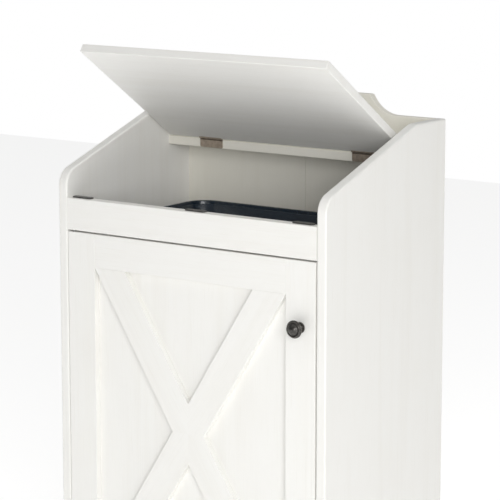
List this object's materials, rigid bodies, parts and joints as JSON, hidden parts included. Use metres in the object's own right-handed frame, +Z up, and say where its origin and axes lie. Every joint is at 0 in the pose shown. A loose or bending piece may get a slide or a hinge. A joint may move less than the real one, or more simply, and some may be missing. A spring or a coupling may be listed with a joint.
{
  "type": "waste bin cabinet",
  "caption": "Free-standing kitchen bin cabinet: sloping lift-up lid, X-braced door with a knob, curved backsplash, and a loose open bin inside.",
  "frame": {"origin": "bottom centre of the whole part's box, on the floor, with the lid as it is drawn", "axes": "+Z up, +Y to the back, +X to the cabinet's right as seen from its front"},
  "size_m": [0.45, 0.322, 0.8519],
  "materials": {
    "painted_board": "white-washed, satin",
    "painted_sheet": "white-washed, matt",
    "beech": "raw",
    "zinc": "cast zinc",
    "antique_bronze": "satin antique",
    "black_iron": "satin black",
    "steel": "plated",
    "ferrite": "matt",
    "white_plastic": "satin",
    "glide_plastic": "satin",
    "pad_rubber": "matt",
    "navy_plastic": "gloss"
  },
  "bodies": {
    "cabinet": {"left_side_panel": "painted_board", "right_side_panel": "painted_board", "bottom_board": "painted_board", "kick_board": "painted_board", "front_top_rail": "painted_board", "rear_shelf": "painted_board", "backsplash": "painted_board", "back_board_left": "painted_sheet", "back_board_right": "painted_sheet", "glide_front_left": "glide_plastic", "glide_front_right": "glide_plastic", "glide_rear_left": "glide_plastic", "glide_rear_right": "glide_plastic", "bumper_pad_left": "pad_rubber", "bumper_pad_centre": "pad_rubber", "bumper_pad_right": "pad_rubber", "dowels": "beech", "cam_bolts": "zinc", "cam_locks": "zinc", "shelf_hinge_left": "antique_bronze", "shelf_hinge_right": "antique_bronze", "shelf_hinge_screws": "antique_bronze", "lid_hinge_pin_left": "antique_bronze", "lid_hinge_pin_right": "antique_bronze", "door_pivot_pin_top": "steel", "door_pivot_pin_bottom": "steel", "catch_housing": "white_plastic", "catch_magnet": "ferrite", "catch_screws": "steel"},
    "lid": {"lid_board": "painted_board", "lid_hinge_left": "antique_bronze", "lid_hinge_right": "antique_bronze", "lid_hinge_screws": "antique_bronze"},
    "door": {"door_back_sheet": "painted_sheet", "door_stile_left": "painted_board", "door_stile_right": "painted_board", "door_rail_top": "painted_board", "door_rail_bottom": "painted_board", "door_brace_long": "painted_board", "door_brace_upper": "painted_board", "door_brace_lower": "painted_board", "door_bushing_top": "white_plastic", "door_bushing_bottom": "white_plastic", "knob_rosette": "black_iron", "knob": "black_iron", "knob_screw": "steel", "strike_plate": "steel", "strike_screw": "steel"},
    "bin": {"bin": "navy_plastic"}
  },
  "joints": [
    {"name": "lid_hinge", "type": "hinge", "parent": "cabinet", "child": "lid", "pos_m": [0, 0.0958, 0.7044], "axis": [-1, 0, 0], "range_deg": [-48.9, 55]},
    {"name": "door_hinge", "type": "hinge", "parent": "cabinet", "child": "door", "pos_m": [-0.2004, -0.135, 0.33], "axis": [0, 0, -1], "range_deg": [0, 110]},
    {"name": "bin_lift", "type": "slide", "parent": "cabinet", "child": "bin", "axis": [0, 0, 1], "range_m": [0, 0.025]}
  ]
}
